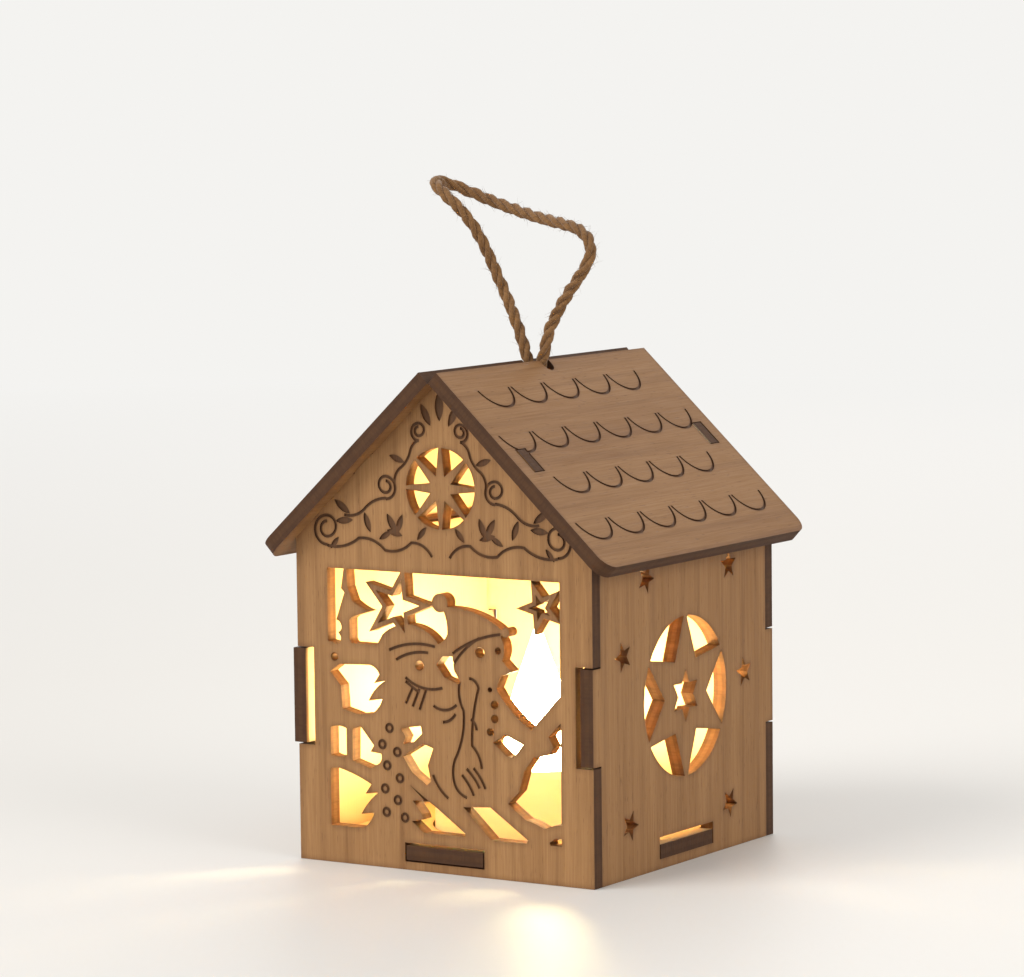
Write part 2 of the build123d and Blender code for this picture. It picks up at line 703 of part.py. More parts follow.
flame_tip = (0, shell_height + flame_height)
hollow_tip = (0, shell_height + flame_height - flame_tip_wall)
with BuildPart() as flame_cap:
    with BuildSketch(Plane.XZ):
        with BuildLine():
            Polyline(
                (flame_bore, shell_height), (flame_bore, flange_low), (flange_radius, flange_low),
                (flange_radius, flange_top), (flame_radius, flange_top), (flame_radius, shell_height),
            )
            Bezier((flame_radius, shell_height), *flame_points(flame_radius, flame_outer_shares), flame_tip)
            Line(flame_tip, hollow_tip)
            Bezier(hollow_tip, *flame_points(flame_radius, flame_inner_shares), (flame_bore, shell_height))
        make_face()
    revolve(axis=Axis.Z)
flame_cap.part.label = "flame_cap"
export_step(flame_cap.part, "parts/flame_cap.step")

# The bottom closes the shell, with a round hole and lug notches for the cell cover, and the switch slot
bottom_top = bottom_rise + bottom_thickness
cell_centre = (0, -cell_shift)
with BuildPart() as tealight_base:
    with BuildSketch(Plane.XY.offset(bottom_rise)):
        Circle(bottom_radius)
        with Locations(cell_centre):
            Circle(cover_hole, mode=Mode.SUBTRACT)
            notch_length = 2 * (cover_hole + lug_reach)
            Rectangle(notch_length, lug_width + 2 * cover_play, rotation=cover_turn, mode=Mode.SUBTRACT)
        with Locations((0, switch_place)):
            slot_length = switch_travel + nub_length + 2 * switch_play
            Rectangle(slot_length, nub_width + 2 * switch_play, mode=Mode.SUBTRACT)
    extrude(amount=bottom_thickness)
tealight_base.part.label = "tealight_base"
export_step(tealight_base.part, "parts/tealight_base.step")

# The cell cover turns in the bottom, its two lugs ride over the rim of the hole
cover_top = bottom_rise + cover_thickness
lug_rise = bottom_top + lug_play
with BuildPart() as battery_cover:
    with BuildSketch(Plane.XY.offset(bottom_rise)):
        with Locations(cell_centre):
            Circle(cover_radius)
    extrude(amount=cover_thickness)
    with BuildSketch(Plane.XY.offset(cover_top)):
        with Locations(cell_centre):
            Circle(cover_radius)
            Circle(cell_radius + cell_play, mode=Mode.SUBTRACT)
    extrude(amount=lug_rise + lug_thickness - cover_top)
    with BuildSketch(Plane.XY.offset(lug_rise)):
        for side in (-1, 1):
            with Locations((side * (cover_radius + lug_reach / 2 - lug_thickness / 2), -cell_shift)):
                Rectangle(lug_reach + lug_thickness, lug_width)
    extrude(amount=lug_thickness)
    with BuildSketch(Plane.XY.offset(bottom_rise)):
        with Locations(cell_centre):
            Rectangle(coin_slot_length, coin_slot_width)
    extrude(amount=coin_slot_depth, mode=Mode.SUBTRACT)
battery_cover.part.label = "battery_cover"
export_step(battery_cover.part, "parts/battery_cover.step")

# The coin cell is a can, a plastic gasket and a cap, with the can towards the cover
cell_low = cover_top + cell_play
cell_high = cell_low + cell_height
tray_height = cell_high + contact_room
with BuildPart() as cell_can:
    with BuildSketch(Plane.XY.offset(cell_low)):
        with Locations(cell_centre):
            Circle(cell_radius)
    extrude(amount=can_height)
    with BuildSketch(Plane.XY.offset(cell_low + can_wall)):
        with Locations(cell_centre):
            Circle(cell_radius - can_wall)
    extrude(amount=can_height, mode=Mode.SUBTRACT)
cell_can.part.label = "cell_can"
export_step(cell_can.part, "parts/cell_can.step")

with BuildPart() as cell_gasket:
    with BuildSketch(Plane.XY.offset(cell_low + can_wall)):
        with Locations(cell_centre):
            Circle(cell_radius - can_wall)
            Circle(cell_radius - can_wall - gasket_wall, mode=Mode.SUBTRACT)
    extrude(amount=can_height - can_wall)
cell_gasket.part.label = "cell_gasket"
export_step(cell_gasket.part, "parts/cell_gasket.step")

with BuildPart() as cell_cap:
    with BuildSketch(Plane.XY.offset(cell_low + can_wall)):
        with Locations(cell_centre):
            Circle(cell_radius - can_wall - gasket_wall)
    extrude(amount=cell_height - can_wall)
    fillet(cell_cap.edges().group_by(Axis.Z)[-1], radius=can_wall)
cell_cap.part.label = "cell_cap"
export_step(cell_cap.part, "parts/cell_cap.step")

# The tray hangs in the shell over the cell, with a ring round the cell and a hub for the lamp
tray_ring_low = lug_rise + lug_thickness + cell_play
lead_hole = lead_diameter / 2 + lead_play
with BuildPart() as lamp_tray:
    with BuildSketch(Plane.XY.offset(tray_height)):
        Circle(bottom_radius - shell_draft)
    extrude(amount=tray_thickness)
    with BuildSketch(Plane.XY.offset(tray_ring_low)):
        with Locations(cell_centre):
            Circle(cell_radius + cell_play + tray_ring_wall)
            Circle(cell_radius + cell_play, mode=Mode.SUBTRACT)
        with Locations((0, -cell_shift - cell_radius)):
            Rectangle(tray_ring_gap, cell_radius, mode=Mode.SUBTRACT)
    extrude(amount=tray_height - tray_ring_low)
    with BuildSketch(Plane.XY.offset(tray_height + tray_thickness)):
        Circle(hub_radius)
        Circle(lamp_radius + lamp_flange + inner_play, mode=Mode.SUBTRACT)
    extrude(amount=flange_low - hub_room - tray_height - tray_thickness)
    with BuildSketch(Plane.XY.offset(tray_height)):
        with Locations((-lead_spacing / 2, 0), (lead_spacing / 2, 0)):
            Circle(lead_hole)
    extrude(amount=tray_thickness, mode=Mode.SUBTRACT)
lamp_tray.part.label = "lamp_tray"
export_step(lamp_tray.part, "parts/lamp_tray.step")

# The lamp stands in the hub on its flange, under a round lens
lamp_low = tray_height + tray_thickness
lamp_flange_radius = lamp_radius + lamp_flange
lens_low = lamp_low + lamp_height - lamp_radius
lamp_flange_top = lamp_low + lamp_flange_thickness
with BuildPart() as led_lamp:
    with BuildSketch(Plane.XZ):
        with BuildLine():
            Polyline(
                (0, lens_low + lamp_radius), (0, lamp_low),
                (lamp_flange_radius, lamp_low), (lamp_flange_radius, lamp_flange_top),
                (lamp_radius, lamp_flange_top), (lamp_radius, lens_low),
            )
            CenterArc((0, lens_low), lamp_radius, 0, 90)
        make_face()
    revolve(axis=Axis.Z)
led_lamp.part.label = "led_lamp"
export_step(led_lamp.part, "parts/led_lamp.step")

contact_high = tray_height - inner_play
contact_low = contact_high - contact_thickness
with BuildPart() as led_leads:
    with BuildSketch(Plane.XY.offset(lamp_low)):
        with Locations((-lead_spacing / 2, 0), (lead_spacing / 2, 0)):
            Circle(lead_diameter / 2)
    extrude(amount=contact_high - lamp_low)
led_leads.part.label = "led_leads"
export_step(led_leads.part, "parts/led_leads.step")

# The spring leaf under the tray presses its dimple on the cap
with BuildPart() as negative_contact:
    with BuildSketch(Plane.XY.offset(contact_low)):
        with Locations((-lead_spacing / 2 - contact_width / 4, -cell_shift / 2)):
            Rectangle(contact_width / 2, 2 * cell_shift + contact_width)
    extrude(amount=contact_thickness)
    with BuildSketch(Plane.XY.offset(contact_low)):
        with Locations((-lead_spacing / 2 - contact_width / 4, -cell_shift)):
            Circle(dimple_radius)
    extrude(amount=cell_high + inner_play - contact_low)
negative_contact.part.label = "negative_contact"
export_step(negative_contact.part, "parts/negative_contact.step")

# The other leaf goes down the side of the can, through the gap in the tray's ring
leaf_place = -cell_shift - cell_radius - inner_play
with BuildPart() as positive_contact:
    with BuildSketch(Plane.XY.offset(tray_ring_low)):
        with Locations((0, leaf_place - contact_thickness / 2)):
            Rectangle(contact_width, contact_thickness)
    extrude(amount=contact_high - tray_ring_low)
    with BuildSketch(Plane.XY.offset(contact_low)):
        with Locations((0, leaf_place - contact_thickness / 2)):
            Rectangle(contact_width, contact_thickness)
        with Locations((contact_width / 4, leaf_place / 2)):
            Rectangle(contact_width / 2, -leaf_place + contact_thickness)
    extrude(amount=contact_thickness)
positive_contact.part.label = "positive_contact"
export_step(positive_contact.part, "parts/positive_contact.step")

# The switch slides on the bottom, and its nub is reached through the slot
nub_low = bottom_rise / 2
slider_low = bottom_top + lug_play
with BuildPart() as switch_slider:
    with BuildSketch(Plane.XY.offset(slider_low)):
        with Locations((switch_travel / 2, switch_place)):
            Rectangle(slider_length, slider_width)
    extrude(amount=slider_thickness)
    with BuildSketch(Plane.XY.offset(nub_low)):
        with Locations((switch_travel / 2, switch_place)):
            Rectangle(nub_length, nub_width)
    extrude(amount=slider_low - nub_low)
switch_slider.part.label = "switch_slider"
export_step(switch_slider.part, "parts/switch_slider.step")
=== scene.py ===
import bpy
import numpy as np
from mathutils import Matrix, Vector


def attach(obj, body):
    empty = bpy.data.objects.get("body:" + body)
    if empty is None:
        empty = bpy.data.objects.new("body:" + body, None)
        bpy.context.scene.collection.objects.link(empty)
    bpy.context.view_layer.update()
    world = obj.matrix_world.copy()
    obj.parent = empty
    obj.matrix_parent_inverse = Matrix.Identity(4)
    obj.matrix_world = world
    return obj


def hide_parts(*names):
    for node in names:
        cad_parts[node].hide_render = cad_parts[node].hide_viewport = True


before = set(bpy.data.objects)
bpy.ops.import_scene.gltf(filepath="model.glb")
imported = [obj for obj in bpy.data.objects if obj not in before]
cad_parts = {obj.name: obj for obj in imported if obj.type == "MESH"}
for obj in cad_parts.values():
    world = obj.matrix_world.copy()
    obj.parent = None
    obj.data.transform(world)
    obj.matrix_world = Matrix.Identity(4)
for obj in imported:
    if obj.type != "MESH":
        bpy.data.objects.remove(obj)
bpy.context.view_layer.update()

# The studio: a pale table top that fades into a pale backdrop, a large soft lamp at the left and
# weaker ones at the right and behind, and a camera a little above the ridge, turned to the
# right-hand corner of the house. The table lies a hair below the boards' feet.
camera_place = Vector((0.4143, -0.6552, 0.1406))
camera_turn, camera_tilt, camera_roll = np.radians((32.523, 5.671, -0.617))
lens_length = 156.48
lens_shift = (-0.00738, -0.00145)
sensor_width = 36
table_half = 30.0
table_cells = 8
table_height = -0.00003
fade_start, fade_end = 0.25, 1.1
lamp_aim = Vector((0, 0, 0.05))
backdrop_colour = (0.905, 0.89595, 0.873325, 1)


def paint(red, green, blue):
    """A colour as the eye names it, 0 to 255 for each part, made linear: the power curve of the
    sRGB standard, with its straight foot below 0.04."""
    parts = np.array((red, green, blue)) / 255
    linear = np.where(parts <= 0.04045, parts / 12.92, ((parts + 0.055) / 1.055) ** 2.4)
    return (*linear.tolist(), 1.0)


def add(tree, kind, sockets=None, **settings):
    """A shader node of that kind. Each of its sockets takes a value, or is joined to an output."""
    made = tree.nodes.new("ShaderNode" + kind)
    for setting, value in settings.items():
        setattr(made, setting, value)
    for key, value in (sockets or {}).items():
        if isinstance(value, bpy.types.NodeSocket):
            tree.links.new(value, made.inputs[key])
        else:
            made.inputs[key].default_value = value
    return made


def maths(tree, operation, first, second=0.0, third=0.0):
    """The result of one operation of the Math node on up to three numbers."""
    sockets = {0: first, 1: second, 2: third}
    return add(tree, "Math", sockets, operation=operation).outputs[0]


def span(tree, value, low, high, start=0.0, end=1.0):
    """value carried from low..high to start..end on a straight line, and held at both ends."""
    sockets = {"Value": value, "From Min": low, "From Max": high, "To Min": start, "To Max": end}
    return add(tree, "MapRange", sockets).outputs[0]


def blend_colours(tree, share, first, second):
    """first where share is 0, second where it is 1, and an even mixture between."""
    sockets = {0: share, 6: first, 7: second}
    return add(tree, "Mix", sockets, data_type="RGBA").outputs[2]


def new_finish(name):
    """An empty material with one Principled shader, and its node tree."""
    finish = bpy.data.materials.new(name)
    finish.use_nodes = True
    tree = finish.node_tree
    tree.nodes.clear()
    surface = add(tree, "BsdfPrincipled")
    output = add(tree, "OutputMaterial", {"Surface": surface.outputs[0]})
    return finish, tree, surface, output


def camera_rays(tree):
    """1 for rays that come straight from the camera, off a mirror or through glass, else 0."""
    rays = add(tree, "LightPath")
    seen = maths(tree, "MAXIMUM", rays.outputs["Is Camera Ray"], rays.outputs["Is Glossy Ray"])
    return maths(tree, "MAXIMUM", seen, rays.outputs["Is Transmission Ray"])


table_mesh = bpy.data.meshes.new("table_top")
table_line = np.linspace(-table_half, table_half, table_cells + 1)
table_across, table_deep = np.meshgrid(table_line, table_line)
table_level = np.full_like(table_across, table_height)
table_points = np.stack((table_across, table_deep, table_level), -1).reshape(-1, 3)
table_row = table_cells + 1
table_corner = (np.arange(table_cells)[:, None] * table_row + np.arange(table_cells)).ravel()
table_faces = np.stack([table_corner + step for step in (0, 1, table_row + 1, table_row)], -1)
table_mesh.from_pydata(table_points.tolist(), [], table_faces.tolist())
table_top = bpy.data.objects.new("table_top", table_mesh)
bpy.context.collection.objects.link(table_top)

finish, tree, surface, output = new_finish("pale_table")
place = add(tree, "TexCoord").outputs["Object"]
from_house = add(tree, "VectorMath", {0: place}, operation="LENGTH").outputs["Value"]
surface.inputs["Base Color"].default_value = (0.80, 0.79, 0.77, 1)
surface.inputs["Roughness"].default_value = 0.55
surface.inputs["Specular IOR Level"].default_value = 0.25
glow = add(tree, "Emission", {"Color": backdrop_colour, "Strength": 1.0})
far = span(tree, from_house, fade_start, fade_end)
share = maths(tree, "MULTIPLY", maths(tree, "POWER", far, 0.8), camera_rays(tree))
mixture = add(tree, "MixShader", {0: share, 1: surface.outputs[0], 2: glow.outputs[0]})
tree.links.new(mixture.outputs[0], output.inputs["Surface"])
table_mesh.materials.append(finish)

world = bpy.data.worlds.new("studio_air")
bpy.context.scene.world = world
world.use_nodes = True
tree = world.node_tree
tree.nodes.clear()
room = add(tree, "Background", {"Color": (1.0, 0.985, 0.96, 1), "Strength": 0.52})
seen_room = add(tree, "Background", {"Color": backdrop_colour, "Strength": 1.0})
mixture = add(tree, "MixShader", {0: camera_rays(tree), 1: room.outputs[0], 2: seen_room.outputs[0]})
add(tree, "OutputWorld", {"Surface": mixture.outputs[0]})


def soft_lamp(name, place, size, power, colour):
    """A square area lamp at place that faces the middle of the house."""
    light = bpy.data.lights.new(name, "AREA")
    light.size = size
    light.energy = power
    light.color = colour
    lamp = bpy.data.objects.new(name, light)
    lamp.location = place
    lamp.rotation_mode = "QUATERNION"
    lamp.rotation_quaternion = (lamp_aim - Vector(place)).to_track_quat("-Z", "Y")
    bpy.context.collection.objects.link(lamp)


soft_lamp("key_lamp", (-0.45, -0.75, 0.75), 0.7, 7.4, (1.0, 0.97, 0.93))
soft_lamp("side_lamp", (0.95, -0.15, 0.55), 0.6, 3.2, (1.0, 0.96, 0.91))
soft_lamp("back_lamp", (-0.35, 0.95, 0.6), 0.7, 3.2, (1.0, 0.97, 0.93))

back = Vector((
    np.sin(camera_turn) * np.cos(camera_tilt),
    -np.cos(camera_turn) * np.cos(camera_tilt),
    np.sin(camera_tilt),
))
level = Vector((np.cos(camera_turn), np.sin(camera_turn), 0))
upright = back.cross(level)
right = np.cos(camera_roll) * level + np.sin(camera_roll) * upright
above = np.cos(camera_roll) * upright - np.sin(camera_roll) * level
lens = bpy.data.cameras.new("camera")
lens.sensor_width = sensor_width
lens.sensor_fit = "HORIZONTAL"
lens.lens = lens_length
lens.shift_x, lens.shift_y = lens_shift
camera = bpy.data.objects.new("camera", lens)
camera.rotation_mode = "QUATERNION"
camera.location = camera_place
camera.rotation_quaternion = Matrix((right, above, back)).transposed().to_quaternion()
bpy.context.collection.objects.link(camera)
bpy.context.scene.camera = camera
bpy.context.scene.view_settings.view_transform = "Standard"


# The tealight's case: cup, bottom and battery door, moulded in ivory polypropylene with a satin
# skin. The cup is one shot, the bottom is pressed into it, and the door turns in the bottom.
cup_height = 0.016
cup_glow = (255, 222, 150)
cup_ivory, cup_mottle = (240, 232, 208), (235, 226, 201)


def scene_place(tree):
    """The point on the object, in metres, in the frame that all the pieces share."""
    return add(tree, "TexCoord").outputs["Object"]


def grain_noise(tree, where, scale, detail=2.0, roughness=0.5, distortion=0.0):
    """Soft noise between 0 and 1 whose blots are about one over scale across, in metres."""
    sockets = {"Vector": where, "Scale": scale, "Detail": detail}
    sockets |= {"Roughness": roughness, "Distortion": distortion}
    return add(tree, "TexNoise", sockets).outputs["Fac"]


def raise_surface(tree, surface, height, depth, strength=1.0):
    """Turns the shader's normal as if the surface stood proud by height times depth, in metres."""
    sockets = {"Height": height, "Distance": depth, "Strength": strength}
    bump = add(tree, "Bump", sockets)
    tree.links.new(bump.outputs[0], surface.inputs["Normal"])


def wear(tree, reach, samples=6):
    """Near 1 at an outer edge of the piece and 0 on its flats: how much of a small ball, drawn
    inwards from the surface, falls out of the body again."""
    way = {"samples": samples, "inside": True, "only_local": True}
    kept = add(tree, "AmbientOcclusion", {"Distance": reach}, **way).outputs["AO"]
    return maths(tree, "SUBTRACT", 1.0, kept)


def moulded_plastic(name, colour, shade, roughness, cloudiness=0.0, lit=0.0):
    """Injection-moulded plastic: a faint mottle of the colour, a satin skin with finger marks,
    fine spark texture in relief, and edges rubbed a little paler. lit is the strength at the deck
    of the lamp's light that comes through a thin milky wall, and half of it reaches the foot."""
    finish, tree, surface, _ = new_finish(name)
    place = scene_place(tree)
    clouds = grain_noise(tree, place, 130, 3)
    skin = grain_noise(tree, place, 5200, 2, 0.6)
    marks = grain_noise(tree, place, 420, 4, 0.65, 0.6)
    tone = blend_colours(tree, span(tree, clouds, 0.3, 0.7), paint(*shade), paint(*colour))
    rubbed = span(tree, wear(tree, 0.0005), 0.15, 0.8, 0.0, 0.45)
    pale = paint(*(min(255, part + 14) for part in colour))
    tone = blend_colours(tree, rubbed, tone, pale)
    tree.links.new(tone, surface.inputs["Base Color"])
    handled = span(tree, marks, 0.3, 0.75, roughness - 0.06, roughness + 0.12)
    tree.links.new(handled, surface.inputs["Roughness"])
    surface.inputs["Subsurface Weight"].default_value = cloudiness
    surface.inputs["Subsurface Scale"].default_value = 0.0015
    # Painted glow: this emission on the cup stands in for the lamp's light shining through its milky
    # wall, brightest at the deck
    if lit > 0:
        height = add(tree, "SeparateXYZ", {0: place}).outputs["Z"]
        through = maths(tree, "MULTIPLY", span(tree, height, 0.0, cup_height, 0.5, 1.0), lit)
        through = maths(tree, "MULTIPLY", through, span(tree, clouds, 0.3, 0.7, 0.95, 1.05))
        surface.inputs["Emission Color"].default_value = paint(*cup_glow)
        tree.links.new(through, surface.inputs["Emission Strength"])
    raise_surface(tree, surface, skin, 0.000018)
    return finish


def dress(finish, *names):
    """Gives the finish to every material slot of those nodes of the frame."""
    for name in names:
        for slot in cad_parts[name].material_slots:
            slot.link = "OBJECT"
            slot.material = finish


dress(moulded_plastic("ivory_cup", cup_ivory, cup_mottle, 0.34, 0.25, lit=0.4), "tealight_shell")
dress(moulded_plastic("ivory_bottom", (232, 223, 199), (221, 210, 184), 0.38, 0.1), "tealight_base")
dress(moulded_plastic("ivory_door", (235, 226, 202), (223, 213, 187), 0.36, 0.1), "battery_cover")

# The flame: a hollow cap of soft milky plastic that stands on the cup's deck. The lamp inside
# lights it from below, so that it glows warm all over and brightest at its middle.
flame_foot = 0.0119
flame_tip = 0.041
flame_strength = 95.0

finish, tree, surface, _ = new_finish("milky_flame")
place = scene_place(tree)
height = add(tree, "SeparateXYZ", {0: place}).outputs["Z"]
rise = span(tree, height, flame_foot, flame_tip)
glow_colours = add(tree, "ValToRGB", {"Fac": rise})
glow_colours.color_ramp.elements[0].color = paint(255, 218, 140)
glow_colours.color_ramp.elements[1].color = paint(255, 224, 150)
glow_colours.color_ramp.elements.new(0.4).color = paint(255, 234, 172)
bright = maths(tree, "SINE", maths(tree, "MULTIPLY", span(tree, rise, 0.0, 1.0, 0.12, 0.9), np.pi))
streaks = grain_noise(tree, place, 600, 2)
bright = maths(tree, "MULTIPLY", bright, span(tree, streaks, 0.25, 0.75, 0.85, 1.05))
bright = maths(tree, "MULTIPLY", bright, flame_strength)
tree.links.new(glow_colours.outputs[0], surface.inputs["Emission Color"])
tree.links.new(bright, surface.inputs["Emission Strength"])
mottle = grain_noise(tree, place, 900, 3)
tone = blend_colours(tree, mottle, paint(250, 238, 212), paint(244, 226, 190))
tree.links.new(tone, surface.inputs["Base Color"])
tree.links.new(span(tree, mottle, 0.3, 0.7, 0.38, 0.52), surface.inputs["Roughness"])
raise_surface(tree, surface, grain_noise(tree, place, 3000, 2), 0.00002)
dress(finish, "flame_cap")

# Inside the cup: the grey lamp tray with its ring, the amber lamp on two tinned leads, the coin
# cell with its gasket, and two sprung strips of brass. All are bought in and clipped together.
dress(moulded_plastic("tray_moulding", (196, 192, 180), (182, 177, 164), 0.45), "lamp_tray")
dress(moulded_plastic("cell_gasket_moulding", (58, 56, 54), (44, 42, 40), 0.5), "cell_gasket")
dress(moulded_plastic("switch_moulding", (52, 48, 44), (38, 35, 32), 0.42), "switch_slider")

finish, tree, surface, _ = new_finish("amber_resin")
place = scene_place(tree)
swirl = grain_noise(tree, place, 700, 2, 0.5, 0.8)
tone = blend_colours(tree, swirl, paint(255, 214, 140), paint(255, 190, 96))
tree.links.new(tone, surface.inputs["Base Color"])
tree.links.new(span(tree, swirl, 0.3, 0.7, 0.08, 0.18), surface.inputs["Roughness"])
surface.inputs["Transmission Weight"].default_value = 0.6
surface.inputs["IOR"].default_value = 1.5
surface.inputs["Emission Color"].default_value = paint(255, 190, 100)
surface.inputs["Emission Strength"].default_value = 3.0
raise_surface(tree, surface, grain_noise(tree, place, 2200, 2), 0.00001)
dress(finish, "led_lamp")


def drawn_metal(name, colour, shade, roughness, brush):
    """Rolled or drawn metal sheet: fine scratches stretched by the brush vector, a patchy dull
    film, and edges rubbed bright."""
    finish, tree, surface, _ = new_finish(name)
    place = scene_place(tree)
    stretched = add(tree, "VectorMath", {0: place, 1: brush}, operation="MULTIPLY").outputs[0]
    scratches = grain_noise(tree, stretched, 1, 3, 0.7)
    film = grain_noise(tree, place, 380, 4, 0.6)
    tone = blend_colours(tree, span(tree, film, 0.35, 0.7), paint(*colour), paint(*shade))
    tone = blend_colours(tree, span(tree, wear(tree, 0.0003), 0.2, 0.9, 0, 0.5), tone, paint(*colour))
    tree.links.new(tone, surface.inputs["Base Color"])
    dull = maths(tree, "MULTIPLY", span(tree, scratches, 0.3, 0.7, 0.8, 1.25), roughness)
    dull = maths(tree, "ADD", dull, span(tree, film, 0.4, 0.7, 0, 0.12))
    tree.links.new(dull, surface.inputs["Roughness"])
    surface.inputs["Metallic"].default_value = 1.0
    raise_surface(tree, surface, scratches, 0.000006)
    return finish


wire_finish = drawn_metal("tinned_wire", (214, 212, 206), (176, 174, 168), 0.3, (9000, 9000, 500))
dress(wire_finish, "led_leads")
can_finish = drawn_metal("cell_can_steel", (206, 205, 200), (170, 168, 162), 0.24, (900, 9000, 9000))
dress(can_finish, "cell_can")
cap_finish = drawn_metal("cell_cap_steel", (212, 211, 206), (178, 176, 170), 0.22, (9000, 900, 9000))
dress(cap_finish, "cell_cap")
contact_finish = drawn_metal("spring_brass", (214, 176, 98), (170, 130, 64), 0.28, (6000, 700, 6000))
dress(contact_finish, "positive_contact", "negative_contact")


# The house: seven boards of three-layer birch ply, cut by a laser. The cut edges are scorched dark,
# the faces carry a brown haze along each cut, and the engraved lines are burnt to their floor.
ply_depth = 0.0025
line_depth = 0.0003
picture_reach = 0.0240
gable_reach = 0.0100
gable_start, gable_full = 0.054, 0.056
roof_slope = np.radians(43.0)
gable_peak = 0.0842
veneer_pale = (176, 133, 87)
veneer_middle = (157, 115, 72)
veneer_dark = (120, 82, 48)
# Painted light: the pale tone below goes on the inner faces for the flame's light indoors
veneer_inside_lit = (238, 215, 176)
eaves_start, indoors_end = 0.0300, 0.0296
scorch = (96, 60, 35)
char = (54, 33, 20)
# Painted light: the two browns below are paler than the cut's char and stand in for the flame's light on
# the openings' edges; their mottle is uneven staining
singed_and_lit = (76, 47, 28)
toasted_and_lit = (128, 85, 50)
bare_middle = (158, 112, 68)


